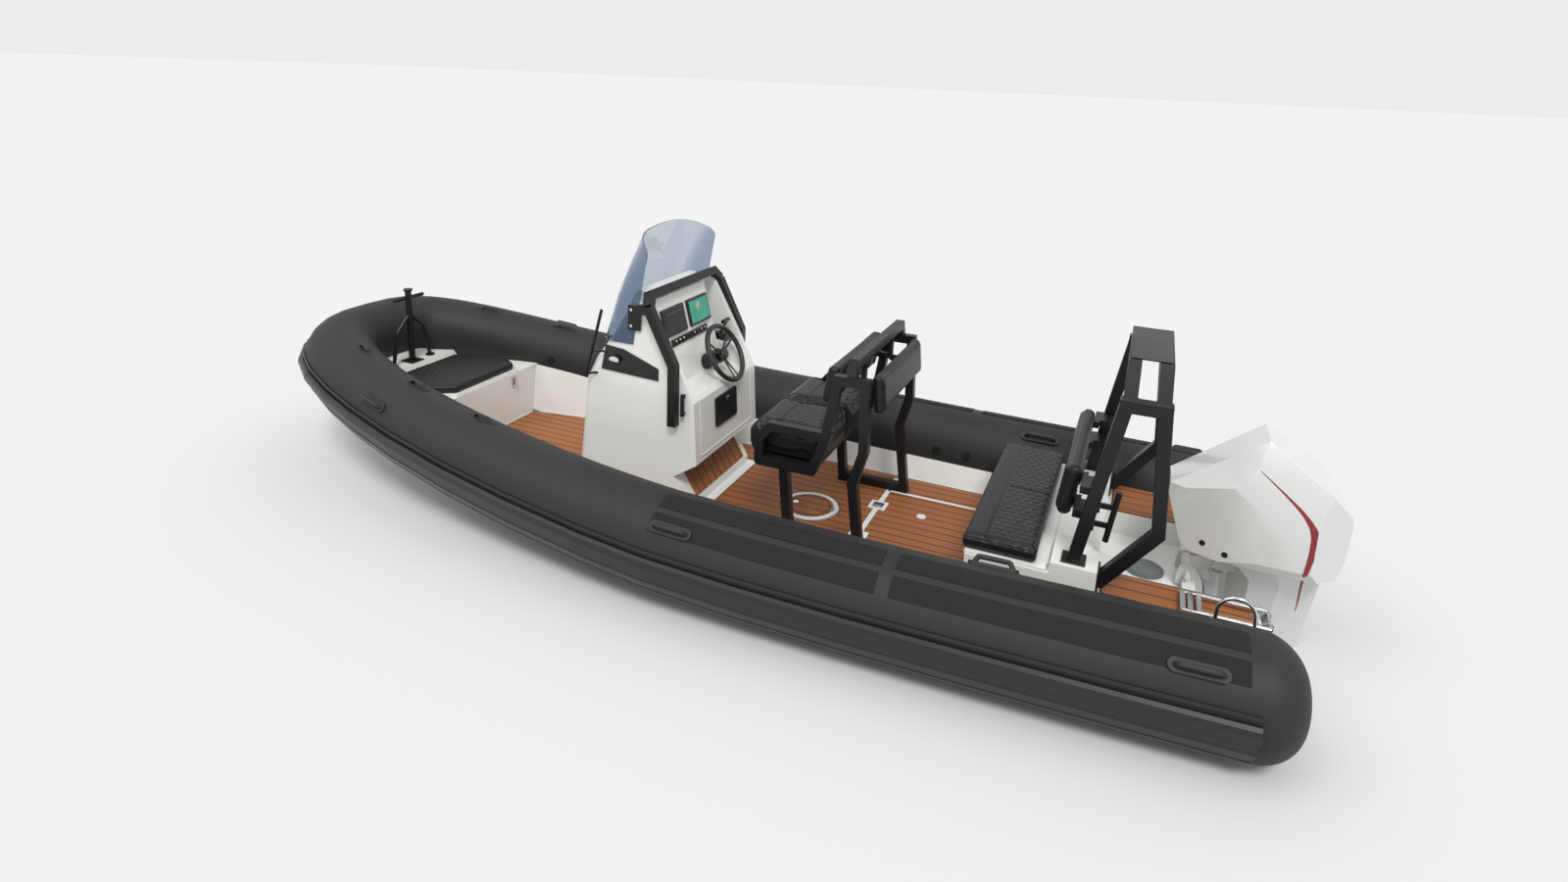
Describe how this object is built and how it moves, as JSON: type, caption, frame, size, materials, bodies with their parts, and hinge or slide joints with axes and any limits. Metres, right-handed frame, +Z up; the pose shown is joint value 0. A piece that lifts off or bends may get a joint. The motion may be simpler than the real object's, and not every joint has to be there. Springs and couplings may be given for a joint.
{
  "type": "rigid inflatable boat",
  "caption": "Open rigid inflatable boat with deep-V hull, inflated collar, steering console, helm seat, stern bench, arch, bow locker and outboard motor.",
  "frame": {"origin": "centreline at the waterline, below the transom's aft face", "axes": "+X to the bow, +Y to port, +Z up"},
  "size_m": [6.412, 2.562, 2.547],
  "materials": {
    "gelcoat": "gloss white moulded glass-fibre",
    "collar": "matt charcoal coated fabric, inflated",
    "strake": "satin black rubber section",
    "wear_pad": "ribbed dark rubber",
    "webbing": "black webbing and rubber handles",
    "teak": "satin planks with dark seams",
    "upholstery": "quilted black marine vinyl",
    "black_steel": "matt black powder coat",
    "black_plastic": "satin black moulding",
    "display": "glass-fronted displays",
    "smoked_screen": "smoked blue-grey acrylic",
    "stainless": "polished stainless steel",
    "cowl_white": "gloss white painted cover",
    "leg_white": "gloss white painted aluminium",
    "engine_grey": "cast and painted engine block",
    "propeller": "polished stainless steel",
    "grey_plastic": "grey moulded hatch"
  },
  "bodies": {
    "boat": {"hull": "gelcoat", "sole_moulding": "gelcoat", "stern_moulding": "gelcoat", "bow_moulding": "gelcoat", "tube_port": "collar", "tube_starboard": "collar", "tube_bow": "collar", "strake_port": "strake", "strake_starboard": "strake", "strake_bow": "strake", "wear_pads": "wear_pad", "tube_handles": "webbing", "bow_straps": "webbing", "valves": "black_plastic", "teak_sole": "teak", "teak_stern": "teak", "hatch_ring": "gelcoat", "console": "gelcoat", "displays": "display", "switch_panel": "black_plastic", "helm_pump": "black_plastic", "throttle": "black_plastic", "windscreen": "smoked_screen", "console_rail": "black_steel", "screen_brackets": "black_steel", "console_fittings": "black_plastic", "foot_panel": "teak", "front_rail": "black_steel", "seat_frames": "black_steel", "seat_base": "black_steel", "seat_cushions": "upholstery", "seat_back_pads": "upholstery", "seat_crossbar": "black_steel", "arch": "black_steel", "arch_plate": "black_steel", "arch_pad": "upholstery", "arch_brackets": "black_steel", "bow_post": "black_steel", "bow_latch": "stainless", "bow_eye": "stainless", "tow_hoops": "stainless", "ladder_bracket": "stainless", "inspection_hatch": "grey_plastic", "clamp_bracket": "leg_white"},
    "hatch": {"hatch_lid": "teak"},
    "glovebox": {"glovebox_door": "black_plastic"},
    "wheel": {"steering_wheel": "black_plastic"},
    "bench": {"bench_lid": "gelcoat", "bench_cushion": "upholstery"},
    "bow_seat": {"bow_lid": "gelcoat", "bow_cushion": "upholstery"},
    "ladder": {"ladder": "stainless"},
    "swivel": {"swivel_bracket": "leg_white"},
    "outboard": {"outboard_leg": "leg_white", "outboard_cowl": "cowl_white", "powerhead": "engine_grey"},
    "propeller": {"propeller": "propeller"}
  },
  "joints": [
    {"name": "outboard_tilt", "type": "hinge", "parent": "boat", "child": "swivel", "pos_m": [0.04, 0, 0.3], "axis": [0, 1, 0], "range_deg": [0, 50]},
    {"name": "outboard_steer", "type": "hinge", "parent": "swivel", "child": "outboard", "pos_m": [-0.095, 0, 0.08], "axis": [0, 0, -1], "range_deg": [-30, 30]},
    {"name": "propeller_spin", "type": "hinge", "parent": "outboard", "child": "propeller", "pos_m": [-0.54, 0, -0.592], "axis": [1, 0, 0], "continuous": true},
    {"name": "wheel_turn", "type": "hinge", "parent": "boat", "child": "wheel", "pos_m": [2.709, -0.075, 0.965], "axis": [-0.866, 0, 0.5], "range_deg": [-630, 630]},
    {"name": "glovebox_hinge", "type": "hinge", "parent": "boat", "child": "glovebox", "pos_m": [2.64419, 0.02, 0.57288], "axis": [0, -1, 0], "range_deg": [0, 90]},
    {"name": "hatch_hinge", "type": "hinge", "parent": "boat", "child": "hatch", "pos_m": [1.935, 0, 0.135], "axis": [0, -1, 0], "range_deg": [0, 95]},
    {"name": "bench_hinge", "type": "hinge", "parent": "boat", "child": "bench", "pos_m": [0.673, 0, 0.4303], "axis": [0, -1, 0], "range_deg": [0, 45]},
    {"name": "bow_seat_hinge", "type": "hinge", "parent": "boat", "child": "bow_seat", "pos_m": [5.021, 0, 0.4843], "axis": [0, 1, 0], "range_deg": [0, 75]},
    {"name": "ladder_hinge", "type": "hinge", "parent": "boat", "child": "ladder", "pos_m": [-0.274, 0.4975, 0.368], "axis": [0, -1, 0], "range_deg": [0, 250]}
  ],
  "couplings": [
    {"joint": "outboard_steer", "follows": "wheel_turn", "ratio": 0.047619}
  ]
}
